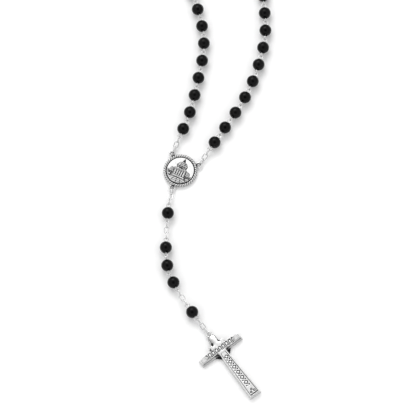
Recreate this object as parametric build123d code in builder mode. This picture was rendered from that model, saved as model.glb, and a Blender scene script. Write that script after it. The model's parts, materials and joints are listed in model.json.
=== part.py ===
"""Five-decade rosary laid out on a table.

A loop of 54 beads and a drop of 5 beads hang from a round centrepiece, and the drop ends in a cross.
Every bead turns on its own eye pin, and every eye, link and eyelet is a closed ring that passes
through the ring beside it.

Units are millimetres. The origin is the middle of the centrepiece's flat back, which lies on the
table, and +Z points up from the table.
"""
from build123d import *
import math
import os

# ---------------------------------------------------------------------------------------------
# Beads and eye pins
# ---------------------------------------------------------------------------------------------
bead_diameter = 6.2
pin_wire = 0.55
pin_clearance = 0.07  # radial, between the pin and the bead's bore
eye_hole = 1.64
eye_nest = 0.45  # how far each eye sits in the dimple at the end of the bead's bore
eye_overlap = 0.1  # how far the pin's shank stops short of the eye's wire centre

# ---------------------------------------------------------------------------------------------
# Chain links
# ---------------------------------------------------------------------------------------------
link_wire = 0.55
link_hole_length = 2.98
link_hole_width = 1.6
links_per_connector = 3
ring_clearance = 0.06  # between two rings where they would pull on each other
connector_sag = 0.45  # how far the middle of a connector hangs below its two ends

# ---------------------------------------------------------------------------------------------
# Centrepiece
# ---------------------------------------------------------------------------------------------
medal_diameter = 17.4
medal_thickness = 2.0
medal_turn = -24.5  # degrees about +Z, from +Y to the picture's upright direction
rim_width = 1.35
rim_round = 0.54  # fillet on the rim's outer edge
groove_width = 0.45
groove_depth = 0.45
field_depth = 0.3
relief_height = 0.35
picture_bays = 6.9  # half width of the picture, in bays of the church's front
eyelet_hole = 1.7
eyelet_wire = 0.9
eyelet_stand_off = 1.3  # from the medal's edge to the centre of each eyelet
table_gap = 0.05  # between the table and the lowest upright link
upper_eyelet_angle = 49.0  # of each upper eyelet from the upright direction

# ---------------------------------------------------------------------------------------------
# Cross
# ---------------------------------------------------------------------------------------------
cross_heading = -53.5  # degrees from +X, the way that the shaft runs from the eyelet to the foot
cross_thickness = 2.7
cross_draft = 9.0  # degrees that the side walls lean in towards the front
arm_span = 24.6
arm_top = 2.4  # height of the arms' upper edge above the crossing's centre
arm_bottom = -2.1
arm_bevel = 0.6  # drop of the arms' upper edge from the block's start to the tip
arm_block = 3.9  # length of the plain block at each arm's tip
shaft_top_width = 4.9  # at the arms, across the back
shaft_foot_width = 6.7  # at the foot, across the back
shaft_length = 29.6  # from the crossing's centre to the foot
step_width = 8.6
step_height = 4.4
hood_width = 4.7
hood_height = 9.0
hood_shoulder = 1.6  # from the hood's top down to where it starts to narrow
hood_crown_width = 3.0  # at the top, where the hood meets the eyelet
cross_eyelet_stand_off = 0.9  # from the hood's top to the eyelet's centre
gusset_leg = 2.4
gusset_height = 1.1
panel_margin = 0.75
panel_depth = 0.25
ledge_width = 0.5
ledge_drop = 0.8

# ---------------------------------------------------------------------------------------------
# Lay of the chain on the table
# ---------------------------------------------------------------------------------------------
# Points that the loop passes on its way from the left eyelet to the right one, in the object's frame.
loop_points = [
    (1.5, 22), (5.3, 31.5), (7.5, 41.2), (11.5, 60.5), (12.5, 70.4), (10.9, 80), (5.8, 98),
    (-5, 121), (-15, 145), (-20, 169), (-18, 194), (-7, 217), (11, 236), (35, 246), (61, 247),
    (86, 238), (104, 220), (113, 198), (108, 175), (93, 158), (73, 149), (55, 136), (45, 117),
    (42.9, 93.4), (44.4, 75.4), (42.9, 65.6), (37.8, 48.2), (34, 39.5), (28.7, 30.9), (18.2, 15.3),
]
# Points that the drop passes after its eyelet, in the object's frame.
drop_points = [
    (-6.4, -23.8), (-7.2, -41.6), (-6.8, -51.6), (-2.8, -60.8), (6.2, -75.4), (14.4, -86.4),
]
left_first_heading = 66.0  # degrees from +X, of the first link at each eyelet
right_first_heading = 56.0
drop_first_heading = -99.0
nape_gap = 0.4  # where the loop is left open, between the last rings of its two halves
route_samples = 1500

# ---------------------------------------------------------------------------------------------
# Values that follow
# ---------------------------------------------------------------------------------------------
bead_radius = bead_diameter / 2
pin_radius = pin_wire / 2
bore_radius = pin_radius + pin_clearance
eye_radius = eye_hole / 2 + pin_radius  # of the eye's wire centre line
eye_outside = eye_radius + pin_radius
eye_centre = bead_radius - eye_nest + eye_outside
dimple_radius = math.sqrt(eye_outside**2 - (eye_outside - eye_nest) ** 2) + pin_clearance
bead_span = 2 * (eye_centre + eye_hole / 2) - ring_clearance
link_radius = link_wire / 2
link_bend = link_hole_width / 2 + link_radius  # radius of the wire's centre line at each end
link_straight = link_hole_length - link_hole_width
link_span = link_hole_length - ring_clearance
link_half_width = link_hole_width / 2 + link_wire
eyelet_radius = eyelet_hole / 2 + eyelet_wire / 2
eyelet_height = link_half_width + table_gap  # of the eyelets' middle plane above the table
medal_radius = medal_diameter / 2
eyelet_reach = medal_radius + eyelet_stand_off  # from the medal's centre to the centre of each eyelet

spans = {"bead": bead_span, "link": link_span}
wires = {"bead": pin_wire, "link": link_wire}


def heading_vector(degrees):
    """A level unit vector that points degrees from +X, counter-clockwise."""
    return Vector(1, 0, 0).rotate(Axis.Z, degrees)


def eyelet_centre(turn):
    """The centre of the medal's eyelet that is turned by so many degrees from the upright."""
    return eyelet_reach * heading_vector(90 + medal_turn + turn) + Vector(0, 0, eyelet_height)


def eyelet_pivot(centre, heading):
    """Where a ring that pulls along heading meets the inside of an eyelet."""
    return centre + (eyelet_hole / 2 - ring_clearance / 2) * heading_vector(heading)


# ---------------------------------------------------------------------------------------------
# The chain: pivots along a route, and the rigid pieces between them
# ---------------------------------------------------------------------------------------------
class Piece:
    """One rigid piece of chain, a link or a bead on its pin, between two pivots."""

    def __init__(self, kind, section, start, end, near_upright):
        self.kind = kind
        self.section = section
        self.start = start
        self.end = end
        self.near_upright = near_upright
        self.far_upright = near_upright if kind == "link" else False
        along = end - start
        across = Vector(0, 0, 1).cross(along)
        self.plane = Plane(origin=(start + end) / 2, x_dir=along, z_dir=along.cross(across))


def pivot_heights(kinds, first, last):
    """Heights of the pivots between pieces: beads lie level, and connectors slope and sag."""
    heights = [None] * (len(kinds) + 1)
    heights[0] = first
    heights[-1] = last
    for index, kind in enumerate(kinds):
        if kind == "bead":
            heights[index] = bead_radius
            heights[index + 1] = bead_radius
    known = [index for index, height in enumerate(heights) if height is not None]
    for low, high in zip(known, known[1:]):
        for index in range(low + 1, high):
            share = (index - low) / (high - low)
            level = heights[low] + share * (heights[high] - heights[low])
            lowest = min(heights[low], heights[high])
            heights[index] = max(level - connector_sag, lowest - connector_sag, eyelet_height)
    return heights


def sample_route(start, points, end=None):
    """Evenly spaced points on a smooth curve from start through the points."""
    ends = [(end.X, end.Y)] if end else []
    with BuildLine() as route:
        Spline((start.X, start.Y), *points, *ends)
    return [route.edge().position_at(index / route_samples) for index in range(route_samples + 1)]


def swell_route(samples, swell):
    """The same route with its ends kept and the rest moved away from the line between them."""
    first, last = samples[0], samples[-1]
    swelled = []
    for index, point in enumerate(samples):
        base = first + (last - first) * (index / route_samples)
        swelled.append(base + swell * (point - base))
    return swelled


def walk(samples, kinds, heights):
    """Pivots that follow a sampled route, each one piece's span from the last."""
    pivots = [Vector(samples[0].X, samples[0].Y, heights[0])]
    index = 0
    for kind, low, high in zip(kinds, heights, heights[1:]):
        reach = math.sqrt(spans[kind] ** 2 - (high - low) ** 2)
        here = pivots[-1]
        while index < len(samples) - 1:
            there = samples[index]
            if math.hypot(there.X - here.X, there.Y - here.Y) >= reach:
                break
            index += 1
        there = samples[index]
        step = reach * Vector(there.X - here.X, there.Y - here.Y, 0).normalized()
        pivots.append(Vector(here.X + step.X, here.Y + step.Y, high))
    return pivots


def tip(kind, pivots):
    """The end of the last ring, with half of the gap that keeps the loop open."""
    beyond = ring_clearance / 2 + wires[kind] + nape_gap / 2
    return pivots[-1] + beyond * (pivots[-1] - pivots[-2]).normalized()


def close_loop(samples, left_kinds, left_heights, right_kinds, right_heights):
    """Swell the loop's route until its two halves, walked from both ends, just meet."""
    low, high = 0.5, 2.0
    while high - low > 1e-5:
        swell = (low + high) / 2
        route = swell_route(samples, swell)
        left = walk(route, left_kinds, left_heights)
        right = walk(route[::-1], right_kinds, right_heights)
        gap = tip(right_kinds[-1], right) - tip(left_kinds[-1], left)
        if gap.dot(left[-1] - left[-2]) > 0:
            high = swell
        else:
            low = swell
    return left, right


def fit_length(samples, kinds):
    """Scale a route about its start to the chain's own length."""
    length = sum((there - here).length for here, there in zip(samples, samples[1:]))
    stretch = sum(spans[kind] for kind in kinds) / length
    return [samples[0] + stretch * (point - samples[0]) for point in samples]


def pieces_between(pivots, kinds, sections):
    """The pieces of one strand: each ring is turned a quarter from the ring that it passes through."""
    pieces = []
    upright = False  # the eyelets lie flat
    for kind, section, start, end in zip(kinds, sections, pivots, pivots[1:]):
        piece = Piece(kind, section, start, end, near_upright=not upright)
        upright = piece.far_upright
        pieces.append(piece)
    return pieces


def expand(sections):
    """The kind and the section's name of each piece, from (kind, count, name) sections."""
    kinds = [kind for kind, count, _ in sections for _ in range(count)]
    names = [name for _, count, name in sections for _ in range(count)]
    return kinds, names


# Sections move as one rigid group. They run outwards from the centrepiece.
left_sections = [
    ("link", links_per_connector, "connector_1"),
    ("bead", 3, "decade_1a"),
    ("bead", 4, "decade_1b"),
    ("bead", 3, "decade_1c"),
    ("link", links_per_connector, "connector_2"),
    ("bead", 1, "our_father_1"),
    ("link", links_per_connector, "connector_3"),
    ("bead", 10, "decade_2"),
    ("link", links_per_connector, "connector_4"),
    ("bead", 1, "our_father_2"),
    ("link", links_per_connector, "connector_5"),
    ("bead", 10, "decade_3"),
]
right_sections = [
    ("link", links_per_connector, "connector_10"),
    ("bead", 3, "decade_5a"),
    ("bead", 4, "decade_5b"),
    ("bead", 3, "decade_5c"),
    ("link", links_per_connector, "connector_9"),
    ("bead", 1, "our_father_4"),
    ("link", links_per_connector, "connector_8"),
    ("bead", 10, "decade_4"),
    ("link", links_per_connector, "connector_7"),
    ("bead", 1, "our_father_3"),
    ("link", links_per_connector, "connector_6"),
]
# The drop has a connector before the first bead, after it, before the last bead and after that.
drop_sections = []
drop_links = 0
for drop_bead in (1, 2, 3, 4, 5, None):
    if drop_bead in (1, 2, 5, None):
        for _ in range(links_per_connector):
            drop_links += 1
            drop_sections.append(("link", 1, f"drop_link_{drop_links}"))
    if drop_bead:
        drop_sections.append(("bead", 1, f"drop_{drop_bead}"))

left_kinds, left_names = expand(left_sections)
right_kinds, right_names = expand(right_sections)
drop_kinds, drop_names = expand(drop_sections)

left_start = eyelet_pivot(eyelet_centre(upper_eyelet_angle), left_first_heading)
right_start = eyelet_pivot(eyelet_centre(-upper_eyelet_angle), right_first_heading)
drop_start = eyelet_pivot(eyelet_centre(180), drop_first_heading)

left_heights = pivot_heights(left_kinds, eyelet_height, bead_radius)
right_heights = pivot_heights(right_kinds, eyelet_height, bead_radius)
drop_heights = pivot_heights(drop_kinds, eyelet_height, eyelet_height)

loop_route = sample_route(left_start, loop_points, right_start)
left_pivots, right_pivots = close_loop(loop_route, left_kinds, left_heights, right_kinds, right_heights)
drop_route = fit_length(sample_route(drop_start, drop_points), drop_kinds)
drop_pivots = walk(drop_route, drop_kinds, drop_heights)

left_pieces = pieces_between(left_pivots, left_kinds, left_names)
right_pieces = pieces_between(right_pivots, right_kinds, right_names)
drop_pieces = pieces_between(drop_pivots, drop_kinds, drop_names)

# ---------------------------------------------------------------------------------------------
# The three shapes that repeat, each centred on the origin and lying along X
# ---------------------------------------------------------------------------------------------
with BuildPart() as bead_shape:
    with BuildSketch():
        mouth = math.sqrt(bead_radius**2 - dimple_radius**2)
        bore_end = mouth - (dimple_radius - bore_radius)
        with BuildLine():
            rim = ThreePointArc((-mouth, dimple_radius), (0, bead_radius), (mouth, dimple_radius))
            Polyline(rim @ 1, (bore_end, bore_radius), (-bore_end, bore_radius), rim @ 0)
        make_face()
    revolve(axis=Axis.X)


def make_eye_pin(near_upright):
    """A wire pin with a closed eye at each end; the far eye lies flat."""
    with BuildPart() as pin:
        Cylinder(pin_radius, 2 * (eye_centre - eye_radius - eye_overlap), rotation=(0, 90, 0))
        with Locations((-eye_centre, 0, 0)):
            Torus(eye_radius, pin_radius, rotation=(90, 0, 0) if near_upright else (0, 0, 0))
        with Locations((eye_centre, 0, 0)):
            Torus(eye_radius, pin_radius)
    return pin.part


pin_shapes = {upright: make_eye_pin(upright) for upright in (True, False)}

with BuildPart() as link_shape:
    with BuildLine() as link_path:
        top_side = Line((-link_straight / 2, link_bend), (link_straight / 2, link_bend))
        bottom_side = Line((link_straight / 2, -link_bend), (-link_straight / 2, -link_bend))
        ThreePointArc(top_side @ 1, (link_straight / 2 + link_bend, 0), bottom_side @ 0)
        ThreePointArc(bottom_side @ 1, (-link_straight / 2 - link_bend, 0), top_side @ 0)
    with BuildSketch(Plane(origin=(0, link_bend, 0), z_dir=(1, 0, 0))):
        Circle(link_radius)
    sweep(path=link_path.wire())

os.makedirs("parts", exist_ok=True)


def write_copies(label, placed_shapes):
    """Write one node that holds a separate solid for each (plane, shape)."""
    with BuildPart() as node:
        for plane, shape in placed_shapes:
            with Locations(plane.location):
                add(shape)
    node.part.label = label
    export_step(node.part, f"parts/{label}.step")


def upright_plane(plane):
    """The same place, turned a quarter about the chain."""
    return Plane(origin=plane.origin, x_dir=plane.x_dir, z_dir=plane.y_dir)


# ---------------------------------------------------------------------------------------------
# Chain nodes: links of a connector, beads of a section, and the pins of those beads
# ---------------------------------------------------------------------------------------------
all_pieces = left_pieces + right_pieces + drop_pieces
for _, _, section in left_sections + right_sections + drop_sections:
    members = [piece for piece in all_pieces if piece.section == section]
    if members[0].kind == "link":
        places = [upright_plane(piece.plane) if piece.near_upright else piece.plane for piece in members]
        label = section if section.startswith("drop") else f"{section}_links"
        write_copies(label, [(place, link_shape.part) for place in places])
    else:
        plural = "s" if len(members) > 1 else ""
        write_copies(f"{section}_bead{plural}", [(piece.plane, bead_shape.part) for piece in members])
        pins = [(piece.plane, pin_shapes[piece.near_upright]) for piece in members]
        write_copies(f"{section}_eye_pin{plural}", pins)

# ---------------------------------------------------------------------------------------------
# Centrepiece: a round medal with a raised rim, a church in relief and three eyelets
# ---------------------------------------------------------------------------------------------
medal_plane = Plane(origin=(0, 0, 0), x_dir=heading_vector(medal_turn))
field_height = medal_thickness - field_depth
field_radius = medal_radius - rim_width
picture_radius = field_radius - groove_width
bay = picture_radius / picture_bays

with BuildPart() as centrepiece:
    with BuildSketch(medal_plane):
        Circle(medal_radius)
    extrude(amount=medal_thickness)
    fillet(centrepiece.edges().group_by(Axis.Z)[-1], rim_round)
    with BuildSketch(medal_plane.offset(medal_thickness)):
        Circle(field_radius)
    extrude(amount=-field_depth, mode=Mode.SUBTRACT)
    with BuildSketch(medal_plane.offset(field_height)):
        Circle(field_radius)
        Circle(picture_radius, mode=Mode.SUBTRACT)
    extrude(amount=-groove_depth, mode=Mode.SUBTRACT)
    # The church: a long low wing, a taller front with a gable, a drum, a dome and its lantern.
    with BuildSketch(medal_plane.offset(field_height)):
        with Locations((0, -2.6 * bay)):
            Rectangle(11.6 * bay, 2.6 * bay)
        with Locations((-4.3 * bay, -0.9 * bay), (4.3 * bay, -0.9 * bay)):
            Rectangle(1.9 * bay, 1.3 * bay)
        with Locations((0, -0.6 * bay)):
            Rectangle(5.6 * bay, 2.8 * bay)
        with Locations((0, 1.3 * bay)):
            Rectangle(4.6 * bay, 1.6 * bay)
        with Locations((0, 2.1 * bay)):
            Ellipse(1.9 * bay, 2 * bay)
        with Locations((0, 4.3 * bay)):
            Rectangle(0.7 * bay, 1.2 * bay)
    extrude(amount=relief_height)
    with BuildSketch(medal_plane.offset(field_height + relief_height)):
        with BuildLine():
            Polyline((-2.9 * bay, 0.5 * bay), (2.9 * bay, 0.5 * bay), (0, 1.6 * bay), close=True)
        make_face()
        with Locations(*[(column * 0.95 * bay, -bay) for column in (-2, -1, 0, 1, 2)]):
            Rectangle(0.35 * bay, 2.2 * bay)
    extrude(amount=relief_height / 2)
    with Locations(*[eyelet_centre(turn) for turn in (upper_eyelet_angle, -upper_eyelet_angle, 180)]):
        Torus(eyelet_radius, eyelet_wire / 2)

centrepiece.part.label = "centrepiece"
export_step(centrepiece.part, "parts/centrepiece.step")

# ---------------------------------------------------------------------------------------------
# Cross: drafted body with stepped shoulders and a hood, recessed panels, gussets and an eyelet
# ---------------------------------------------------------------------------------------------
cross_down = heading_vector(cross_heading)
cross_eyelet = drop_pivots[-1] + (eyelet_hole / 2 - ring_clearance / 2) * cross_down
cross_centre = cross_eyelet + (hood_height + cross_eyelet_stand_off) * cross_down
cross_plane = Plane(origin=(cross_centre.X, cross_centre.Y, 0), x_dir=heading_vector(cross_heading + 90))
front_plane = cross_plane.offset(cross_thickness)
draft_inset = cross_thickness * math.tan(math.radians(cross_draft))
arm_half = arm_span / 2
shaft_half = shaft_top_width / 2
foot_half = shaft_foot_width / 2

with BuildPart() as cross:
    with BuildSketch(cross_plane):
        with BuildLine():
            Polyline(
                (0, -shaft_length),
                (foot_half, -shaft_length),
                (shaft_half, arm_bottom),
                (arm_half, arm_bottom),
                (arm_half, arm_top - arm_bevel),
                (arm_half - arm_block, arm_top),
                (step_width / 2, arm_top),
                (step_width / 2, step_height),
                (hood_width / 2, step_height),
                (hood_width / 2, hood_height - hood_shoulder),
                (hood_crown_width / 2, hood_height),
                (0, hood_height),
            )
            mirror(about=Plane.YZ)
        make_face()
    extrude(amount=cross_thickness, taper=cross_draft)
    # Gussets in the two lower corners of the crossing: one low triangle that runs through the cross.
    with BuildSketch(cross_plane):
        with BuildLine():
            gusset_reach = shaft_half + gusset_leg - arm_bottom
            Polyline((0, -gusset_reach), (gusset_reach, 0), (-gusset_reach, 0), close=True)
        make_face()
    extrude(amount=gusset_height)
    # A ledge along the arms' lower edges.
    with BuildSketch(front_plane):
        ledge_length = arm_half - shaft_half
        with Locations(
            (-arm_half + ledge_length / 2, arm_bottom + draft_inset),
            (arm_half - ledge_length / 2, arm_bottom + draft_inset),
        ):
            Rectangle(ledge_length, 2 * ledge_width)
    extrude(amount=-ledge_drop, mode=Mode.SUBTRACT)
    # Recessed panels on the shaft and on each arm.
    with BuildSketch(front_plane):
        inset = draft_inset + panel_margin
        with BuildLine():
            Polyline(
                (0, inset - shaft_length),
                (foot_half - inset, inset - shaft_length),
                (shaft_half - inset, arm_bottom - panel_margin),
                (0, arm_bottom - panel_margin),
            )
            mirror(about=Plane.YZ)
        make_face()
        panel_start = shaft_half
        panel_end = arm_half - arm_block
        panel_low = arm_bottom + draft_inset + ledge_width + panel_margin / 2
        panel_high = arm_top - draft_inset - panel_margin / 2
        panel_centre = ((panel_start + panel_end) / 2, (panel_low + panel_high) / 2)
        with Locations(panel_centre, (-panel_centre[0], panel_centre[1])):
            Rectangle(panel_end - panel_start, panel_high - panel_low)
    extrude(amount=-panel_depth, mode=Mode.SUBTRACT)
    with Locations(cross_eyelet):
        Torus(eyelet_radius, eyelet_wire / 2)

cross.part.label = "cross"
export_step(cross.part, "parts/cross.step")
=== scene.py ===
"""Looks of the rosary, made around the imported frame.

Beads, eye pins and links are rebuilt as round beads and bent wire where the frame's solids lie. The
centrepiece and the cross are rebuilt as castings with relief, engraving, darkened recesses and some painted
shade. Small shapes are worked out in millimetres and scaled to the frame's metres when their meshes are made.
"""
import json
import math

import bpy
import numpy as np
from mathutils import Matrix, Vector


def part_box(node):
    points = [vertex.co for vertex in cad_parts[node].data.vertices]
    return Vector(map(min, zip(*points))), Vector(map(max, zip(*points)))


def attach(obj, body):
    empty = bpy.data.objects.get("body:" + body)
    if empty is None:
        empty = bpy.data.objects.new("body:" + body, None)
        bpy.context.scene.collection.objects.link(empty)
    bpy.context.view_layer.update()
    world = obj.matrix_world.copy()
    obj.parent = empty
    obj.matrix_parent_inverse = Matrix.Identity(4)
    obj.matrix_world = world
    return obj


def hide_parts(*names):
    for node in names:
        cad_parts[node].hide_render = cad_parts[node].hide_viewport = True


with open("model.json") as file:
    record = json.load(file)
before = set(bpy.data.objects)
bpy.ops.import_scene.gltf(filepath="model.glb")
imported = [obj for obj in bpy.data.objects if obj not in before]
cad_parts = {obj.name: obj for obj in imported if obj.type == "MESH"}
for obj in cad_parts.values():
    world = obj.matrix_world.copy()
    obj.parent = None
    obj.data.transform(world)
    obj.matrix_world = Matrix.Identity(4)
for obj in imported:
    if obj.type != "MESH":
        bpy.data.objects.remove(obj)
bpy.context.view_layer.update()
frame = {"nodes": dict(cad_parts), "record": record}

MM = 0.001
BODY_OF = {node: body for body, nodes in frame["record"]["behaviour"]["bodies"].items() for node in nodes}
MOUNTS = {mount["name"]: mount for mount in frame["record"]["mounts"]}

# ---------------------------------------------------------------------------------------------
# Driving dimensions, in millimetres and degrees
# ---------------------------------------------------------------------------------------------
WIRE = min(high - low for low, high in zip(*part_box("drop_link_5"))) / MM
WIRE_SIDES = 10
WIRE_CUT = 0.03  # half of the gap where a link's two wire ends meet
CUT_REACH = 0.15  # how far a cut end rounds out, as a share of the wire's radius
CUT_WIDTH = 0.78  # and how wide it is there
BEND_STEPS = 13  # along each bend of a link

EYE_DIAMETER = (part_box("drop_3_eye_pin")[1].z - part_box("drop_3_eye_pin")[0].z) / MM
EYE_START = 16.0  # where the neck meets the eye, in degrees round from the bead's side
EYE_SWEEP = 326.0
EYE_STEPS = 24
NECK_START = 1.45  # from the eye's middle towards the bead, in radii of the eye
NECK_BEND = (1.16, 0.08)  # towards the bead and to the side, in radii of the eye

BEAD_BORE = 0.345  # radius
BEAD_LIP = 0.09  # radius of the rolled edge round each dimple
EYE_ROOM = 0.07  # between an eye and its dimple
BORE_START = 0.15  # how far the bore's own wall starts below its dimple
BEAD_STEPS = 26  # along the bead's outline
BEAD_SIDES = 44

MEDAL_TURN = -24.5  # about +Z, from +Y to the picture's upright direction
MEDAL_RADIUS = 8.7
MEDAL_TOP = 2.0
RIM_INNER = 7.35
PICTURE_RADIUS = 6.9
FIELD_HEIGHT = 1.7
GROOVE_FLOOR = 1.25
PICTURE_ROWS = 66  # rows of points across the picture, the groove and the rim
GROOVE_ROWS = 5
RIM_ROWS = 17
ROPE_STRANDS = 42
STRAND_STEPS = 14  # round the medal, for each strand
ROPE_DROP = 0.62  # from the medal's top down to the edges of the rope
ROPE_ROUND = 0.5  # how far the rope swells above its edges
ROPE_TWIST = 0.14  # how far its strands swell above that
EYELET_REACH = 10.0
EYELET_HEIGHT = 1.4
EYELET_RADIUS = 1.3
EYELET_WIRE = 0.9
EYELET_TURNS = (49.0, -49.0, 180.0)
RING_STEPS = 44
RING_SIDES = 14
RELIEF_EDGE = 0.09  # half of the width of a raised shape's soft edge
OUTLINE = 0.34  # width of the dark line round a raised shape
OUTLINE_OUT = 0.05  # how far that line's middle lies outside the shape

CROSS_HEADING = -53.5  # from +X, the way that the shaft runs
CROSS_TOP = 2.7
CROSS_DRAFT = 0.43  # how far the side walls lean in, from back to front
ARM_HALF = 12.3
ARM_TOP = 2.4
ARM_BOTTOM = -2.1
ARM_BEVEL = 0.6
ARM_BLOCK = 3.9
SHAFT_HALF = 2.45
FOOT_HALF = 3.35
SHAFT_LENGTH = 29.6
STEP_HALF = 4.3
STEP_HEIGHT = 4.4
HOOD_HALF = 2.35
HOOD_HEIGHT = 9.0
HOOD_SHOULDER = 1.6
HOOD_CROWN = 1.5
LEDGE_WIDTH = 0.5
LEDGE_DROP = 0.8
GUSSET_LEG = 2.4
GUSSET_HEIGHT = 1.1
FIELD_BORDER = 0.55  # round the sunken field of the shaft
FIELD_WALL = 0.14  # width of the wall round a sunken field
SHAFT_SINK = 0.22
ARM_SINK = 0.16
ENGRAVING = 0.16
ARM_START = 1.6  # where the arms' fields start, from the middle
CAST_VOXEL = 0.12
HOLLOW_TONE = 4  # tarnish for each millimetre that a point lies below its surroundings

# The least angle between faces that stays a sharp edge
BEAD_SHARP = 60
WIRE_SHARP = 50
CAST_SHARP = 75

CAMERA_ELEVATION = 72.6
CAMERA_AZIMUTH = 8.5  # from -Y towards +X
CAMERA_DISTANCE = 1.5  # in metres
CAMERA_TARGET = (0.0141, -0.0198, 0.0)  # in metres
CAMERA_LENS = 254.2
ROOM_LIGHT = 1.3
# The room's tone by the cosine of the angle from the side where the camera of the photograph stands
ROOM_TONES = [(0.0, 0.45), (0.45, 0.75), (0.62, 1.0), (0.85, 1.0), (0.91, 0.4), (0.95, 0.04)]
FLOOR_HALF = 3.0  # in metres
FLOOR_DROP = 0.1

# Dark colour and roughness of the tarnish in recesses, also used for the painted shade on the castings.
TARNISH_AND_SHADE_COLOUR = (0.018, 0.018, 0.02, 1)
TARNISH_AND_SHADE_ROUGHNESS = (0.62, 0.62, 0.62, 1)
SPECKLE = 0.16  # how much the noise adds to the tarnish and painted shade


# ---------------------------------------------------------------------------------------------
# Materials
# ---------------------------------------------------------------------------------------------
def new_material(name):
    """A material with a Principled shader, its node tree and that shader."""
    material = bpy.data.materials.new(name)
    material.use_nodes = True
    tree = material.node_tree
    return material, tree, tree.nodes["Principled BSDF"]


def add_noise(tree, scale, detail, roughness=0.6, stretch=(1, 1, 1)):
    """A noise texture in the object's own millimetres, with a scale for each axis."""
    place = tree.nodes.new("ShaderNodeTexCoord")
    mapping = tree.nodes.new("ShaderNodeMapping")
    mapping.inputs["Scale"].default_value = [part / MM for part in stretch]
    noise = tree.nodes.new("ShaderNodeTexNoise")
    noise.inputs["Scale"].default_value = scale
    noise.inputs["Detail"].default_value = detail
    noise.inputs["Roughness"].default_value = roughness
    tree.links.new(place.outputs["Object"], mapping.inputs["Vector"])
    tree.links.new(mapping.outputs["Vector"], noise.inputs["Vector"])
    return noise.outputs["Fac"]


def add_ramp(tree, source, stops):
    """A colour ramp from (position, grey or colour) stops."""
    ramp = tree.nodes.new("ShaderNodeValToRGB")
    elements = ramp.color_ramp.elements
    while len(elements) < len(stops):
        elements.new(0.5)
    for element, (position, value) in zip(elements, stops):
        element.position = position
        colour = value if isinstance(value, tuple) else (value, value, value)
        element.color = (*colour, 1)
    tree.links.new(source, ramp.inputs["Fac"])
    return ramp.outputs["Color"]


def add_mix(tree, share, first, second):
    """Two colours mixed by a share."""
    mix = tree.nodes.new("ShaderNodeMix")
    mix.data_type = "RGBA"
    for socket, source in ((mix.inputs[0], share), (mix.inputs[6], first), (mix.inputs[7], second)):
        if hasattr(source, "links"):
            tree.links.new(source, socket)
        else:
            socket.default_value = source
    return mix.outputs[2]


def add_bump(tree, shader, height, distance, strength):
    """Bump on a shader, with its distance in millimetres."""
    bump = tree.nodes.new("ShaderNodeBump")
    bump.inputs["Distance"].default_value = distance * MM
    bump.inputs["Strength"].default_value = strength
    tree.links.new(height, bump.inputs["Height"])
    tree.links.new(bump.outputs["Normal"], shader.inputs["Normal"])


def bead_material():
    """Polished opaque black, with faint clouding and handling marks in its gloss."""
    material, tree, shader = new_material("black_bead")
    clouds = add_noise(tree, 0.5, detail=3)
    shades = [(0.3, (0.0008, 0.0008, 0.0009)), (0.75, (0.0024, 0.0023, 0.0025))]
    tree.links.new(add_ramp(tree, clouds, shades), shader.inputs["Base Color"])
    smears = add_noise(tree, 1.4, detail=6, stretch=(1, 1, 2.5))
    tree.links.new(add_ramp(tree, smears, [(0.35, 0.16), (0.7, 0.27)]), shader.inputs["Roughness"])
    shader.inputs["IOR"].default_value = 1.22
    add_bump(tree, shader, add_noise(tree, 9.0, detail=2), 0.004, 0.35)
    return material


def silver_material(name, bright, dull, tarnished_and_shaded):
    """Silver-coloured metal. When asked, an attribute darkens and dulls it: tarnish in the recesses, and
    painted shade on shaded sides, ledges, corners and eyelets.
    """
    material, tree, shader = new_material(name)
    shader.inputs["Metallic"].default_value = 1.0
    tone = add_noise(tree, 0.9, detail=5)
    colour = add_ramp(tree, tone, [(0.3, dull), (0.7, bright)])
    scratches = add_noise(tree, 2.2, detail=8, roughness=0.75, stretch=(1, 6, 1))
    gloss = add_ramp(tree, scratches, [(0.3, 0.2), (0.72, 0.36)])
    if tarnished_and_shaded:
        tarnish_and_shade = tree.nodes.new("ShaderNodeAttribute")
        tarnish_and_shade.attribute_name = "tarnish_and_shade"
        speckle = add_noise(tree, 3.5, detail=6)
        spread = tree.nodes.new("ShaderNodeMath")
        spread.operation = "MULTIPLY_ADD"
        tree.links.new(speckle, spread.inputs[0])
        spread.inputs[1].default_value = SPECKLE
        tree.links.new(tarnish_and_shade.outputs["Fac"], spread.inputs[2])
        share = add_ramp(tree, spread.outputs[0], [(0.1, 0.0), (0.72, 1.0)])
        colour = add_mix(tree, share, colour, TARNISH_AND_SHADE_COLOUR)
        gloss = add_mix(tree, share, gloss, TARNISH_AND_SHADE_ROUGHNESS)
    tree.links.new(colour, shader.inputs["Base Color"])
    tree.links.new(gloss, shader.inputs["Roughness"])
    add_bump(tree, shader, scratches, 0.012, 0.5)
    return material


# ---------------------------------------------------------------------------------------------
# Meshes from arrays
# ---------------------------------------------------------------------------------------------
def merge(shapes):
    """One shape, points and faces, from several."""
    points = []
    faces = []
    count = 0
    for shape_points, shape_faces in shapes:
        points.append(np.asarray(shape_points, float))
        faces.extend([tuple(corner + count for corner in face) for face in shape_faces])
        count += len(shape_points)
    return np.concatenate(points), faces


def make_piece(name, shape, material, nodes, sharp, tarnish_and_shade=None):
    """An object from a shape in millimetres, which rides the body of the CAD nodes that it replaces."""
    points, faces = shape
    mesh = bpy.data.meshes.new(name)
    mesh.from_pydata((points * MM).tolist(), [], faces)
    mesh.validate()
    mesh.shade_smooth()
    mesh.set_sharp_from_angle(angle=math.radians(sharp))
    if tarnish_and_shade is not None:
        # Tarnish and painted shade, for each point.
        layer = mesh.attributes.new("tarnish_and_shade", "FLOAT", "POINT")
        layer.data.foreach_set("value", tarnish_and_shade.astype(np.float32))
    mesh.materials.append(material)
    piece = bpy.data.objects.new(name, mesh)
    bpy.context.scene.collection.objects.link(piece)
    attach(piece, BODY_OF[nodes[0]])
    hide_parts(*nodes)


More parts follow.
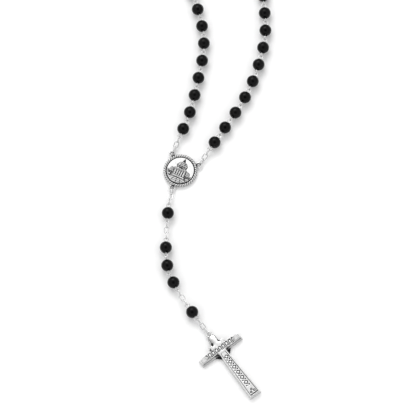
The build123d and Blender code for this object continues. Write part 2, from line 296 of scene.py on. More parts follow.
def grid_faces(rows, columns, wrap_rows=False):
    """Quads between the rows of a grid of points, whose columns go all the way round."""
    faces = []
    for row in range(rows if wrap_rows else rows - 1):
        here = row * columns
        there = ((row + 1) % rows) * columns
        for column in range(columns):
            beside = (column + 1) % columns
            faces.append((here + column, here + beside, there + beside, there + column))
    return faces


def unit(vector):
    """A vector's direction."""
    return vector / np.linalg.norm(vector)


def tube(path, radius):
    """Round wire along an open path, with slightly rounded cut ends."""
    path = np.asarray(path, float)
    tangents = np.gradient(path, axis=0)
    turns = np.arange(WIRE_SIDES) * 2 * math.pi / WIRE_SIDES
    side = np.cross(tangents[0], (0.3, 0.5, 0.8))  # any way off the wire does
    points = []
    rings = [(path[0] - unit(tangents[0]) * radius * CUT_REACH, CUT_WIDTH, 0)]
    rings += [(centre, 1.0, index) for index, centre in enumerate(path)]
    rings.append((path[-1] + unit(tangents[-1]) * radius * CUT_REACH, CUT_WIDTH, len(path) - 1))
    for centre, width, index in rings:
        ahead = unit(tangents[index])
        side = unit(side - ahead * side.dot(ahead))
        up = np.cross(ahead, side)
        for turn in turns:
            points.append(centre + radius * width * (math.cos(turn) * side + math.sin(turn) * up))
    faces = grid_faces(len(rings), WIRE_SIDES)
    faces.append(tuple(range(WIRE_SIDES - 1, -1, -1)))
    faces.append(tuple(range((len(rings) - 1) * WIRE_SIDES, len(rings) * WIRE_SIDES)))
    return np.array(points), faces


def lathe(outline, sides, middle, axes):
    """A closed outline of (along, out) points turned about the first axis, through the middle."""
    turns = np.arange(sides) * 2 * math.pi / sides
    points = [
        middle + along * axes[0] + out * (math.cos(turn) * axes[1] + math.sin(turn) * axes[2])
        for along, out in outline
        for turn in turns
    ]
    return np.array(points), grid_faces(len(outline), sides, wrap_rows=True)


# ---------------------------------------------------------------------------------------------
# Where the frame's solids lie
# ---------------------------------------------------------------------------------------------
def shells(node):
    """The points of each separate solid of a CAD node, in millimetres."""
    mesh = frame["nodes"][node].data
    points = np.empty(len(mesh.vertices) * 3)
    mesh.vertices.foreach_get("co", points)
    points = points.reshape(-1, 3) / MM
    edges = np.empty(len(mesh.edges) * 2, int)
    mesh.edges.foreach_get("vertices", edges)
    # Points in the same place count as one, and joined points take the lowest label among them.
    weld = np.unique(np.round(points, 3), axis=0, return_inverse=True)[1].reshape(-1)
    pairs = weld[edges.reshape(-1, 2)]
    label = np.arange(weld.max() + 1)
    while True:
        lower = label.copy()
        np.minimum.at(lower, pairs[:, 0], label[pairs[:, 1]])
        np.minimum.at(lower, pairs[:, 1], label[pairs[:, 0]])
        lower = lower[lower]
        if (lower == label).all():
            break
        label = lower
    groups = label[weld]
    return [points[groups == group] for group in np.unique(groups)]


def middle_and_axes(points):
    """The middle of a solid, its directions with the longest first, and its size along each."""
    centre = points.mean(0)
    axes = np.linalg.eigh(np.cov((points - centre).T))[1].T[::-1]
    spread = (points - centre) @ axes.T
    middle = centre + (spread.max(0) + spread.min(0)) / 2 @ axes
    return middle, axes, spread.max(0) - spread.min(0)


# ---------------------------------------------------------------------------------------------
# Beads
# ---------------------------------------------------------------------------------------------
def bead_outline(radius, pin_length):
    """Half section of a bead with a dimple at each end of its bore for the eyes, as (along, out) points."""
    eye = EYE_DIAMETER / 2
    nest = radius - (pin_length / 2 - EYE_DIAMETER)
    dimple = math.sqrt(eye**2 - (eye - nest) ** 2) + EYE_ROOM
    mouth_angle = math.asin((dimple + BEAD_LIP) / radius)
    angles = np.linspace(math.pi - mouth_angle, mouth_angle, BEAD_STEPS)
    outline = [(radius * math.cos(angle), radius * math.sin(angle)) for angle in angles]
    mouth = radius * math.cos(mouth_angle)
    depth = dimple - BEAD_BORE
    # The lip, the wall of the dimple and the start of the bore.
    half = [(mouth + BEAD_LIP * 0.1, dimple + BEAD_LIP * 0.5), (mouth, dimple)]
    half += [(mouth - depth * share, dimple - depth * share) for share in (0.15, 0.5, 0.85, 1.0)]
    half.append((mouth - depth - BORE_START, BEAD_BORE))
    return outline + half + [(-along, out) for along, out in reversed(half)]


def pin_frame(points):
    """The two eye centres of a pin, and for each eye whether it stands upright."""
    centre, axes, size = middle_and_axes(points)
    spread = (points - centre) @ axes.T
    across = unit(np.cross((0, 0, 1), axes[0]))
    eyes = []
    for sign in (-1, 1):
        end = points[spread[:, 0] * sign > size[0] / 2 - EYE_DIAMETER]
        height = end[:, 2].max() - end[:, 2].min()
        side = (end - centre) @ across
        along = sign * (size[0] - EYE_DIAMETER) / 2
        middle = centre + along * axes[0] + across * (side.max() + side.min()) / 2
        middle[2] = (end[:, 2].max() + end[:, 2].min()) / 2
        eyes.append((middle, height > EYE_DIAMETER / 2))
    return eyes


def pin_path(eyes, radius):
    """Wire path of an eye pin: round one closed eye, through the bead and round the other eye."""
    (near, near_upright), (far, far_upright) = eyes
    along = unit(far - near)
    up = np.array((0.0, 0.0, 1.0))
    across = np.cross(up, along)
    halves = []
    for middle, upright, outward in ((near, near_upright, -along), (far, far_upright, along)):
        inward = -outward
        side = up if upright else across
        turns = np.radians(np.linspace(EYE_START, EYE_START + EYE_SWEEP, EYE_STEPS))
        loop = [middle + radius * (math.cos(turn) * inward + math.sin(turn) * side) for turn in turns]
        neck = middle + inward * radius * NECK_START
        bend = middle + inward * radius * NECK_BEND[0] + side * radius * NECK_BEND[1]
        halves.append([neck, bend] + loop)
    return halves[0][::-1] + halves[1]


def make_beads(bead_node, pin_node):
    """The round beads of a node and the bent wire pins through them."""
    beads = [middle_and_axes(points)[0] for points in shells(bead_node)]
    low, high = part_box(bead_node)
    pin_solids = shells(pin_node)
    pins = [pin_frame(points) for points in pin_solids]
    outline = bead_outline((high.z - low.z) / 2 / MM, middle_and_axes(pin_solids[0])[2][0])
    bead_shapes = []
    for bead in beads:
        # A bead's pin is the one whose eyes have the bead midway between them.
        (near, _), (far, _) = min(pins, key=lambda eyes: np.linalg.norm(eyes[0][0] + eyes[1][0] - 2 * bead))
        along = unit(far - near)
        across = unit(np.cross((0, 0, 1), along))
        axes = np.array((along, across, np.cross(along, across)))
        bead_shapes.append(lathe(outline, BEAD_SIDES, bead, axes))
    make_piece(f"round_{bead_node}", merge(bead_shapes), black_bead, [bead_node], BEAD_SHARP)
    pin_shapes = [tube(pin_path(eyes, (EYE_DIAMETER - WIRE) / 2), WIRE / 2) for eyes in pins]
    make_piece(f"wire_{pin_node}", merge(pin_shapes), silver_wire, [pin_node], WIRE_SHARP)


# ---------------------------------------------------------------------------------------------
# Links
# ---------------------------------------------------------------------------------------------
def link_path(middle, axes, size):
    """Wire path round a link, from one cut end beside the seam to the other."""
    length, width, wire = size
    bend = (width - wire) / 2
    straight = length - width
    path = [(WIRE_CUT, bend), (straight / 4, bend)]
    for start in (90, -90):
        sign = 1 if start > 0 else -1
        turns = np.radians(np.linspace(start, start - 180, BEND_STEPS))
        path += [(sign * straight / 2 + bend * math.cos(turn), bend * math.sin(turn)) for turn in turns]
    path += [(-straight / 4, bend), (-WIRE_CUT, bend)]
    return [middle + x * axes[0] + y * axes[1] for x, y in path]


def make_links(node):
    """The wire links of a node."""
    shapes = []
    for points in shells(node):
        middle, axes, size = middle_and_axes(points)
        shapes.append(tube(link_path(middle, axes, size), size[2] / 2))
    make_piece(f"wire_{node}", merge(shapes), silver_wire, [node], WIRE_SHARP)


# ---------------------------------------------------------------------------------------------
# Relief: signed distances in a picture's own plane, and darkening of the hollows
# ---------------------------------------------------------------------------------------------
def box_distance(x, y, centre_x, centre_y, width, height):
    """Signed distance to a level box, negative inside."""
    over_x = np.abs(x - centre_x) - width / 2
    over_y = np.abs(y - centre_y) - height / 2
    return np.hypot(np.maximum(over_x, 0), np.maximum(over_y, 0)) + np.minimum(np.maximum(over_x, over_y), 0)


def gable_distance(x, y, base, half, height):
    """Signed distance to an upright triangle on a base line, negative inside."""
    slope = math.hypot(half, height)
    side = (height * np.abs(x) + half * (y - base) - half * height) / slope
    return np.maximum(side, base - y)


def raise_by(distance, height):
    """A soft-edged raised shape from its signed distance."""
    share = np.clip(0.5 - distance / (2 * RELIEF_EDGE), 0, 1)
    return height * share * share * (3 - 2 * share)


def stroke(distance, width):
    """1 on a line of a given width and 0 away from it, with soft edges."""
    return np.clip(1.2 - np.abs(distance) / width * 2, 0, 1)


def church(x, y):
    """A domed church on a square: the relief's height, and how dark the tarnish lies on it."""
    across = np.abs(x)
    relief = np.zeros_like(x)
    ink = np.zeros_like(x)

    def draw(distance, width, depth=1.0):
        np.maximum(ink, depth * stroke(distance, width), out=ink)

    def block(distance, height, tone):
        """A raised shape that covers what is behind it, with a dark outline and a tone of its own."""
        inside = distance < 0
        relief[inside] = np.maximum(relief, raise_by(distance, height))[inside]
        ink[inside] = tone
        draw(distance - OUTLINE_OUT, OUTLINE)

    # Paving of the square: steps that fan out from the front.
    paving_top = -3.75
    paving = y < paving_top
    relief[paving] = 0.1
    ink[paving] = 0.2
    for row in (-4.15, -4.95, -5.85):
        draw(y - row + 0.02 * x * x, 0.34, 0.85)
    fan = np.abs(np.sin(np.arctan2(x, -y - 1.0) * 7))
    ink[paving & (fan < 0.2)] = 0.8
    # Side wings with windows under a cornice, a small cupola on each, and a stair block at each end.
    block(box_distance(x, y, 0, -2.65, 12.6, 2.2), 0.2, 0.55)
    wing_start = 3.2
    window_pitch = 1.1
    windows = box_distance(np.mod(across, window_pitch), y, window_pitch / 2, -2.8, 0.42, 1.2)
    glass = (windows < 0) & (across > wing_start)
    ink[glass] = 1.0
    relief[glass] = 0.06
    block(box_distance(x, y, 0, -1.6, 12.2, 0.5), 0.32, 0.05)
    cupola_base = -1.3
    cupola = np.hypot((across - 4.4) / 0.95, np.maximum(y - cupola_base, 0) / 1.5) - 1
    block(np.maximum(cupola, cupola_base - y), 0.34, 0.42)
    block(box_distance(across, y, 5.0, -3.5, 1.6, 0.9), 0.36, 0.35)
    # The front: columns between two courses, and a gable with a sunken field.
    block(box_distance(x, y, 0, -1.5, 6.2, 4.5), 0.28, 0.3)
    column_pitch = 1.2
    gaps = (np.cos(x * 2 * math.pi / column_pitch) < -0.25) & (across < 2.9) & (y < 0.1) & (y > -3.1)
    relief[gaps] = 0.08
    ink[gaps] = 0.95
    block(box_distance(x, y, 0, -3.5, 6.8, 0.5), 0.42, 0.0)
    block(box_distance(x, y, 0, 0.36, 6.6, 0.5), 0.42, 0.0)
    gable = gable_distance(x, y, 0.62, 3.3, 1.6)
    block(gable, 0.46, 0.0)
    gable_field = gable < -0.32
    relief[gable_field] = 0.2
    ink[gable_field] = 0.95
    # The drum, the dome with its ribs and bands, and the lantern with its spire.
    drum = np.maximum(box_distance(x, y, 0, 1.9, 5.0, 1.5), -gable)
    block(drum, 0.32, 0.34)
    slot_pitch = 0.92
    slots = (np.cos(x * 2 * math.pi / slot_pitch) < -0.2) & (drum < -0.15)
    relief[slots] = 0.12
    ink[slots] = 0.9
    block(box_distance(x, y, 0, 2.62, 5.4, 0.4), 0.44, 0.05)
    dome_base, dome_top, dome_half, far = 2.8, 4.75, 2.4, 9.0
    height = np.clip((y - dome_base) / (dome_top - dome_base), 0, 1)
    width = dome_half * np.sqrt(1 - height**2) + 0.01
    share = np.clip(across / width, 0, 1)
    dome = np.where((y > dome_base) & (y < dome_top), across - width, far)
    inside = dome < 0
    relief[inside] = (0.16 + 0.34 * np.sqrt(1 - share**2))[inside]
    ink[inside] = 0.24
    draw(dome - OUTLINE_OUT, OUTLINE)
    for level in (3.2, 3.95):
        ink[inside & (np.abs(y - level + 0.1 * share**2) < 0.13)] = 0.85
    ink[inside & (np.abs(np.sin(np.arcsin(share) * 3)) > 0.96)] = 0.75
    block(box_distance(x, y, 0, 4.85, 1.1, 0.4), 0.4, 0.35)
    block(gable_distance(x, y, 5.05, 0.55, 1.35), 0.42, 0.85)
    return relief, ink


def hollows(points, faces, rounds):
    """How far each point lies below its smoothed surroundings, in millimetres."""
    corners = np.array([face for face in faces if len(face) == 4])
    pairs = np.concatenate([corners[:, [side, (side + 1) % 4]] for side in range(4)])
    pairs = np.concatenate([pairs, pairs[:, ::-1]])
    count = np.maximum(np.bincount(pairs[:, 0], minlength=len(points)), 1)
    level = points[:, 2].copy()
    for _ in range(rounds):
        level = np.bincount(pairs[:, 0], level[pairs[:, 1]], len(points)) / count
    return np.where(count > 1, level - points[:, 2], 0)


# ---------------------------------------------------------------------------------------------
# Centrepiece
# ---------------------------------------------------------------------------------------------
def turned(points, degrees, origin=(0, 0, 0)):
    """Points turned about +Z and moved to an origin."""
    turn = math.radians(degrees)
    cosine, sine = math.cos(turn), math.sin(turn)
    x, y, z = np.asarray(points, float).T
    return np.stack([cosine * x - sine * y, sine * x + cosine * y, z], 1) + np.asarray(origin)


def ring(centre, radius, wire):
    """A flat cast ring."""
    outline = [
        (wire / 2 * math.sin(turn), radius + wire / 2 * math.cos(turn))
        for turn in np.arange(RING_SIDES) * 2 * math.pi / RING_SIDES
    ]
    return lathe(outline, RING_STEPS, centre, np.array(((0, 0, 1), (1, 0, 0), (0, 1, 0)), float))


def medal_front(turns):
    """The medal's front as rows of points, from its middle out to its edge, and how dark each point is made:
    tarnish, and the rope darker down its outer side.
    """
    picture = np.linspace(0.1, PICTURE_RADIUS, PICTURE_ROWS)
    groove = np.linspace(PICTURE_RADIUS + 0.06, RIM_INNER, GROOVE_ROWS)
    rim = np.linspace(RIM_INNER + 0.04, MEDAL_RADIUS, RIM_ROWS)
    radius, turn = np.meshgrid(np.concatenate([picture, groove, rim]), turns, indexing="ij")
    x, y = radius * np.cos(turn), radius * np.sin(turn)
    # The church fades out at the edge of its picture.
    relief, ink = church(x, y)
    edge = np.clip((PICTURE_RADIUS - 0.08 - radius) / 0.25, 0, 1)
    height = FIELD_HEIGHT + relief * edge
    tarnish_and_shade = ink * edge
    # A dark groove parts it from the rim.
    in_groove = (radius > PICTURE_RADIUS) & (radius < RIM_INNER + 0.02)
    height = np.where(in_groove, GROOVE_FLOOR, height)
    # The rim is a rope, with tarnish between its strands, a grey tone over all of it, and darker down its
    # outer side.
    on_rope = radius >= RIM_INNER + 0.02
    rope_half = (MEDAL_RADIUS - RIM_INNER) / 2
    out = np.clip((radius - RIM_INNER - rope_half) / rope_half, -1, 1)
    round_rope = np.sqrt(np.clip(1 - out**2, 0, 1))
    twist = np.abs(np.sin(turn * ROPE_STRANDS / 2 + out * 1.1))
    rope = MEDAL_TOP - ROPE_DROP + ROPE_ROUND * round_rope + ROPE_TWIST * twist * round_rope
    rope_patina = 1.5 * np.clip(0.5 - twist, 0, 1) + 0.26 + 0.3 * np.clip(out, 0, 1) ** 3
    height = np.where(on_rope, rope, height)
    tarnish_and_shade = np.where(on_rope, rope_patina, tarnish_and_shade)
    tarnish_and_shade = np.where(in_groove, 1.0, tarnish_and_shade)
    return np.stack([x, y, height], 2), tarnish_and_shade


def eyelet_tarnish_and_shade(points, headings):
    """A little tarnish on the eyelets, with painted shade at their roots on the medal and inside their holes,
    for points seen from above.
    """
    tarnish_and_shade = np.full(len(points), 0.1)
    for heading in headings:
        from_root = np.hypot(*(points - heading[:2] * (MEDAL_RADIUS + 0.1)).T)
        from_hole = np.hypot(*(points - heading[:2] * EYELET_REACH).T)
        # Painted shade where the eyelet meets the rim and round the inside of its hole.
        tarnish_and_shade = np.maximum(tarnish_and_shade, np.clip(1.25 - from_root, 0, 0.75))
        tarnish_and_shade = np.maximum(tarnish_and_shade, 0.8 * np.clip((EYELET_RADIUS - 0.1 - from_hole) / 0.2, 0, 1))
    return tarnish_and_shade


def make_centrepiece():
    """The round medal: a rope rim, a dark groove, a church in relief and three eyelets."""
    steps = ROPE_STRANDS * STRAND_STEPS
    turns = np.arange(steps) * 2 * math.pi / steps
    front, front_patina = medal_front(turns)
    # The side wall as (out, up), round a flat back.
    wall = [(MEDAL_RADIUS - inward, up) for inward, up in ((0, 1.2), (0.02, 0.7), (0.03, 0.2), (0.2, 0.0))]
    wall += [(MEDAL_RADIUS * share, 0.0) for share in (0.75, 0.5, 0.25, 0.05)]
    sides = np.array([(out * math.cos(turn), out * math.sin(turn), up) for out, up in wall for turn in turns])
    points = np.concatenate([[(0, 0, front[0, :, 2].mean())], front.reshape(-1, 3), sides, [(0, 0, 0)]])
    rows = len(front) + len(wall)
    faces = [tuple(corner + 1 for corner in face) for face in grid_faces(rows, steps)]
    last = 1 + (rows - 1) * steps
    for step in range(steps):
        beside = (step + 1) % steps
        faces.append((0, 1 + beside, 1 + step))
        faces.append((last + steps, last + step, last + beside))
    side_patina = np.full(len(sides) + 1, 0.12)
    tarnish_and_shade = np.concatenate([[front_patina[0].mean()], front_patina.reshape(-1), side_patina])
    tarnish_and_shade += np.clip(hollows(points, faces, 5) * HOLLOW_TONE, -0.25, 0.6) * (points[:, 2] > 0.9)
    ways = [math.radians(90 + turn) for turn in EYELET_TURNS]
    headings = [np.array((math.cos(way), math.sin(way), 0)) for way in ways]
    eyelets = [
        ring(heading * EYELET_REACH + (0, 0, EYELET_HEIGHT), EYELET_RADIUS, EYELET_WIRE)
        for heading in headings
    ]
    whole, whole_faces = merge([(points, faces)] + eyelets)
    tarnish_and_shade = np.concatenate([tarnish_and_shade, eyelet_tarnish_and_shade(whole[len(points):, :2], headings)])
    shape = (turned(whole, MEDAL_TURN), whole_faces)
    make_piece("cast_centrepiece", shape, cast_silver, ["centrepiece"], CAST_SHARP, tarnish_and_shade)


# ---------------------------------------------------------------------------------------------
# Cross
# ---------------------------------------------------------------------------------------------
def inset(outline, distance):
    """A polygon's corners moved in by a distance from both of their edges; it runs counter-clockwise."""
    outline = np.asarray(outline, float)
    back = outline - np.roll(outline, 1, 0)
    ahead = np.roll(outline, -1, 0) - outline
    back /= np.linalg.norm(back, axis=1)[:, None]
    ahead /= np.linalg.norm(ahead, axis=1)[:, None]
    normal_back = np.stack([-back[:, 1], back[:, 0]], 1)
    normal_ahead = np.stack([-ahead[:, 1], ahead[:, 0]], 1)
    mitre = normal_back + normal_ahead
    mitre /= (mitre * normal_back).sum(1)[:, None]
    return outline + distance * mitre


def prism(outline, low, high, inset_low, inset_high):
    """A polygon raised between two heights, with leaning walls."""
    count = len(outline)
    points = [(x, y, low) for x, y in inset(outline, inset_low)]
    points += [(x, y, high) for x, y in inset(outline, inset_high)]
    ends = [tuple(range(count))[::-1], tuple(range(count, 2 * count))]
    return np.array(points), grid_faces(2, count) + ends


def mirrored(half):
    """A closed outline from the points of its right half, given from the bottom up."""
    return half + [(-x, y) for x, y in reversed(half) if x > 0]


def cross_outline(arm_bottom):
    """The cross seen from the front, with its arms' lower edges at a given height."""
    return mirrored([
        (FOOT_HALF, -SHAFT_LENGTH),
        (SHAFT_HALF, arm_bottom),
        (ARM_HALF, arm_bottom),
        (ARM_HALF, ARM_TOP - ARM_BEVEL),
        (ARM_HALF - ARM_BLOCK, ARM_TOP),
        (STEP_HALF, ARM_TOP),
        (STEP_HALF, STEP_HEIGHT),
        (HOOD_HALF, STEP_HEIGHT),
        (HOOD_HALF, HOOD_HEIGHT - HOOD_SHOULDER),
        (HOOD_CROWN, HOOD_HEIGHT),
    ])


def cast_blank(shapes):
    """The shapes joined into one skin of even small faces: its points, their normals and its faces."""
    points, faces = merge(shapes)
    mesh = bpy.data.meshes.new("blank")
    mesh.from_pydata(points.tolist(), [], faces)
    blank = bpy.data.objects.new("blank", mesh)
    bpy.context.scene.collection.objects.link(blank)
    remesh = blank.modifiers.new("skin", "REMESH")
    remesh.mode = "VOXEL"
    remesh.voxel_size = CAST_VOXEL
    soften = blank.modifiers.new("soften", "SMOOTH")
    soften.iterations = 2
    soften.factor = 0.4
    skin = blank.evaluated_get(bpy.context.evaluated_depsgraph_get()).to_mesh()
    skin_points = np.empty(len(skin.vertices) * 3)
    skin.vertices.foreach_get("co", skin_points)
    normals = np.empty(len(skin.vertices) * 3)
    skin.vertices.foreach_get("normal", normals)
    skin_faces = [tuple(polygon.vertices) for polygon in skin.polygons]
    blank.to_mesh_clear()
    bpy.data.objects.remove(blank)
    bpy.data.meshes.remove(mesh)
    return skin_points.reshape(-1, 3), normals.reshape(-1, 3), skin_faces


def shaft_ornament(x, y):
    """Lozenges with a pair of buds between them, down the shaft."""
    pitch = 3.3
    lozenge_half = 1.05
    bud_x, bud_radius = 0.72, 0.08
    place = np.mod(y, pitch) - pitch / 2
    lozenge = (np.abs(x) * 1.05 + np.abs(place)) - lozenge_half
    between = np.abs(place) - pitch / 2
    buds = np.hypot(np.abs(x) - bud_x, between) - bud_radius
    marks = np.maximum(stroke(lozenge, 0.72), stroke(buds, 0.7))
    inside = (y < ARM_BOTTOM - 1.9) & (y > -SHAFT_LENGTH + 6.0)
    return np.where(inside, marks, 0)


def foot_ornament(x, y):
    """A trefoil and a bar near the foot."""
    leaf_radius = 0.42
    marks = np.zeros_like(x)
    for leaf_x, leaf_y in ((-0.95, 2.5), (0.95, 2.5), (0.0, 3.7)):
        leaf = np.hypot(x - leaf_x, y + SHAFT_LENGTH - leaf_y) - leaf_radius
        marks = np.maximum(marks, stroke(leaf, 0.5))
    bar = stroke(box_distance(x, y, 0, 1.35 - SHAFT_LENGTH, 3.4, 0.1), 0.5)
    return np.maximum(marks, bar)


def arm_ornament(x, y):
    """A row of arches along the arms, each with a bud in it."""
    pitch = 2.05
    low, high = ARM_BOTTOM + LEDGE_WIDTH + 0.7, ARM_TOP - 0.75
    place = np.mod(x + pitch / 2, pitch) - pitch / 2
    spring = high - 0.95
    arch = np.where(y > spring, np.hypot(place, y - spring), np.abs(place)) - pitch * 0.33
    bud = np.hypot(place, y - low - 0.55) - 0.02
    marks = np.maximum(stroke(arch, 0.5), stroke(bud, 0.6))
    inside = (y > low - 0.1) & (y < high + 0.1) & (np.abs(x) < ARM_HALF - ARM_BLOCK)
    return np.where(inside, marks, 0)


def shaft_half(y):
    """Half of the shaft's width at its back, which grows towards the foot."""
    down = np.clip((ARM_BOTTOM - y) / (SHAFT_LENGTH + ARM_BOTTOM), 0, 1)
    return SHAFT_HALF + (FOOT_HALF - SHAFT_HALF) * down


def cross_front(x, y):
    """How far the front of the cross is sunk at each point, and how dark its tarnish and painted shade lie
    there.
    """
    across = np.abs(x)
    # The shaft's field, inside a thin border.
    margin = np.minimum(shaft_half(y) - CROSS_DRAFT - across, y + SHAFT_LENGTH - CROSS_DRAFT) - FIELD_BORDER
    margin = np.minimum(margin, ARM_BOTTOM + 0.2 - y)
    sink = SHAFT_SINK * np.clip(margin / FIELD_WALL, 0, 1)
    tarnish_and_shade = 0.75 * stroke(margin - 0.1, 0.42) * (y < ARM_BOTTOM)
    # The arms' fields, between the end blocks and the middle, and a plaque on each end block.
    low = ARM_BOTTOM + LEDGE_WIDTH + CROSS_DRAFT
    high = ARM_TOP - CROSS_DRAFT
    on_arm = across > ARM_START
    arm = -box_distance(x, y, 0, (low + high) / 2 + 0.05, 2 * (ARM_HALF - ARM_BLOCK), high - low - 0.5)
    sink = np.maximum(sink, ARM_SINK * np.clip(arm / FIELD_WALL, 0, 1) * on_arm)
    tarnish_and_shade += 0.5 * stroke(arm, 0.36) * on_arm
    plaque_x = ARM_HALF - ARM_BLOCK / 2 - 0.25
    plaque = box_distance(across, y, plaque_x, (low + high) / 2, ARM_BLOCK - 1.3, high - low - 0.8)
    tarnish_and_shade += 0.42 * stroke(plaque, 0.3) + 0.12 * (plaque < 0)
    # Engraved ornament.
    marks = np.maximum(shaft_ornament(x, y), foot_ornament(x, y))
    arches = arm_ornament(x, y)
    sink = sink + ENGRAVING * np.maximum(marks, arches)
    tarnish_and_shade += 0.95 * marks
    tarnish_and_shade += arches
    # The hood is crowned and smooth, and falls away to its sides and its eyelet. Painted shade darkens it
    # towards its sides and over its left half.
    hood = np.clip((y - ARM_TOP - 0.6) / 1.6, 0, 1) * (across < HOOD_HALF)
    crown = 0.55 * (across / HOOD_HALF) ** 2 + 0.5 * np.clip((y - 6.4) / 2.6, 0, 1) ** 2
    sink = sink + hood * crown
    tarnish_and_shade += hood * (0.42 * (across / HOOD_HALF) ** 3 + 0.25 * (x < -0.6))
    return sink, tarnish_and_shade


def add_tarnish_and_shade(tarnish_and_shade, points, normals, faces, shelf):
    """Painted shade under the ledges, in the inner corners of the steps and on the side walls; the gussets'
    tops painted darkest; more tarnish in hollows.
    """
    x, y, z = points.T
    across = np.abs(x)
    # The gussets' tops are painted darkest.
    in_gusset = (z < GUSSET_HEIGHT + 0.25) & (normals[:, 2] > 0.3)
    in_gusset &= (y < ARM_BOTTOM - 0.12) & (across > shaft_half(y) - 0.2)
    tarnish_and_shade = np.where(in_gusset, 1.1, tarnish_and_shade)
    # Painted shade on the walls under the ledges, deepest near the shaft.
    ledge = (y < ARM_BOTTOM + LEDGE_WIDTH + 0.3) & (y > ARM_BOTTOM - 0.2) & (across > SHAFT_HALF)
    deep = np.clip(1.0 - (across - SHAFT_HALF) / 4.5, 0.35, 1)
    tarnish_and_shade += np.where(ledge & (z < CROSS_TOP - 0.3) & (z > shelf - 0.25), 0.8 * deep, 0)
    tarnish_and_shade += np.where(ledge & (z < shelf - 0.5), 0.35 * deep, 0)
    tarnish_and_shade += np.clip(hollows(points, faces, 6) * HOLLOW_TONE, -0.3, 0.8) * (z > 0.8)
    # Painted shade in the inner corners of the steps.
    for corner_x, corner_y in ((HOOD_HALF, STEP_HEIGHT), (STEP_HALF, ARM_TOP)):
        from_corner = np.hypot(across - corner_x, y - corner_y)
        tarnish_and_shade += 1.2 * np.clip(1.2 - from_corner, 0, 1) * (z < CROSS_TOP - 0.05)
    # Painted shade: the side walls are a little darker than the front.
    tarnish_and_shade += 0.1 * (normals[:, 2] < 0.3) * (z < CROSS_TOP - 0.2)
    return tarnish_and_shade


def make_cross():
    """The cross: a drafted casting with stepped shoulders, hood, ledges, gussets, ornament and eyelet."""
    shelf = CROSS_TOP - LEDGE_DROP
    lean = CROSS_DRAFT * shelf / CROSS_TOP
    reach = SHAFT_HALF + GUSSET_LEG - ARM_BOTTOM
    overlap = 0.3  # the upper part starts inside the lower one
    points, normals, faces = cast_blank([
        prism(cross_outline(ARM_BOTTOM), 0, shelf, 0, lean),
        prism(cross_outline(ARM_BOTTOM + LEDGE_WIDTH), shelf - overlap, CROSS_TOP, lean - 0.05, CROSS_DRAFT),
        prism([(0, -reach), (reach, 0), (-reach, 0)], 0, GUSSET_HEIGHT, 0, 0),
        ring((0, HOOD_HEIGHT + EYELET_WIRE, EYELET_HEIGHT), EYELET_RADIUS, EYELET_WIRE),
    ])
    front = (points[:, 2] > CROSS_TOP - 0.25) & (normals[:, 2] > 0.5)
    sink, tarnish_and_shade = cross_front(points[:, 0], points[:, 1])
    points[:, 2] -= np.where(front, sink, 0)
    tarnish_and_shade = add_tarnish_and_shade(np.where(front, tarnish_and_shade, 0), points, normals, faces, shelf)
    # The cross_back mount lies at the middle of the shaft's length.
    way = math.radians(CROSS_HEADING)
    down = np.array((math.cos(way), math.sin(way), 0))
    crossing = np.array(MOUNTS["cross_back"]["pos_m"]) / MM - down * SHAFT_LENGTH / 2
    placed = turned(points, CROSS_HEADING + 90, (crossing[0], crossing[1], 0))
    make_piece("cast_cross", (placed, faces), cast_silver, ["cross"], CAST_SHARP, tarnish_and_shade)


# ---------------------------------------------------------------------------------------------
# Floor, light and camera
# ---------------------------------------------------------------------------------------------
def make_floor():
    """A plain white table top, a hair below the flat backs so that no two faces coincide."""
    turns = ((-1, -1), (1, -1), (1, 1), (-1, 1))
    corners = [(x * FLOOR_HALF, y * FLOOR_HALF, -FLOOR_DROP * MM) for x, y in turns]
    mesh = bpy.data.meshes.new("floor")
    mesh.from_pydata(corners, [], [(0, 1, 2, 3)])
    floor = bpy.data.objects.new("floor", mesh)
    bpy.context.scene.collection.objects.link(floor)
    material, _, shader = new_material("floor_white")
    shader.inputs["Base Color"].default_value = (0.96, 0.96, 0.96, 1)
    shader.inputs["Roughness"].default_value = 0.9
    shader.inputs["Specular IOR Level"].default_value = 0.0
    mesh.materials.append(material)


def camera_way():
    """The direction from the table to the photograph's camera."""
    rise = math.radians(CAMERA_ELEVATION)
    turn = math.radians(CAMERA_AZIMUTH)
    return math.sin(turn) * math.cos(rise), -math.cos(turn) * math.cos(rise), math.sin(rise)


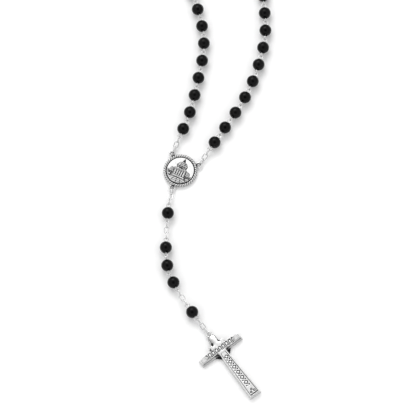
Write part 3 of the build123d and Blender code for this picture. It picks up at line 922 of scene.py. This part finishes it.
def make_world():
    """A white room, dimmer towards the horizon and almost black round the photograph's camera."""
    world = bpy.data.worlds.new("room")
    bpy.context.scene.world = world
    world.use_nodes = True
    tree = world.node_tree
    background = tree.nodes["Background"]
    place = tree.nodes.new("ShaderNodeTexCoord")
    toward = tree.nodes.new("ShaderNodeVectorMath")
    toward.operation = "DOT_PRODUCT"
    tree.links.new(place.outputs["Generated"], toward.inputs[0])
    toward.inputs[1].default_value = camera_way()
    tone = add_ramp(tree, toward.outputs["Value"], ROOM_TONES)
    tree.links.new(tone, background.inputs["Color"])
    background.inputs["Strength"].default_value = ROOM_LIGHT


def make_light(name, place, size, power):
    """A rectangular softbox that faces the middle of the table."""
    light = bpy.data.lights.new(name, "AREA")
    light.shape = "RECTANGLE"
    light.size, light.size_y = size
    light.energy = power
    lamp = bpy.data.objects.new(name, light)
    lamp.location = place
    lamp.rotation_euler = (-Vector(place)).to_track_quat("-Z", "Y").to_euler()
    bpy.context.scene.collection.objects.link(lamp)


def make_camera():
    """A long lens above the near side of the table."""
    camera = bpy.data.cameras.new("camera")
    camera.lens = CAMERA_LENS
    camera.sensor_width = 36.0
    camera.clip_start = 0.05
    camera.clip_end = 50.0
    eye = bpy.data.objects.new("camera", camera)
    way = Vector(camera_way())
    eye.location = Vector(CAMERA_TARGET) + CAMERA_DISTANCE * way
    # The picture's upright direction is +Y of the table.
    forward = -way
    upright = (Vector((0, 1, 0)) - forward * forward.y).normalized()
    side = forward.cross(upright)
    eye.rotation_euler = Matrix((side, upright, -forward)).transposed().to_euler()
    bpy.context.scene.collection.objects.link(eye)
    bpy.context.scene.camera = eye


# ---------------------------------------------------------------------------------------------
# The scene
# ---------------------------------------------------------------------------------------------
black_bead = bead_material()
silver_wire = silver_material("silver_wire", (0.74, 0.74, 0.735), (0.56, 0.56, 0.565), tarnished_and_shaded=False)
cast_silver = silver_material("cast_silver", (0.84, 0.84, 0.835), (0.64, 0.64, 0.64), tarnished_and_shaded=True)

for node in sorted(BODY_OF):
    if "_bead" in node:
        make_beads(node, node.replace("_bead", "_eye_pin"))
    elif "link" in node:
        make_links(node)
make_centrepiece()
make_cross()

make_floor()
make_world()
make_light("far_softbox", (-0.22, 0.98, 1.11), (1.0, 0.5), 8.0)
make_camera()
bpy.context.scene.view_settings.view_transform = "Standard"

bpy.context.view_layer.update()
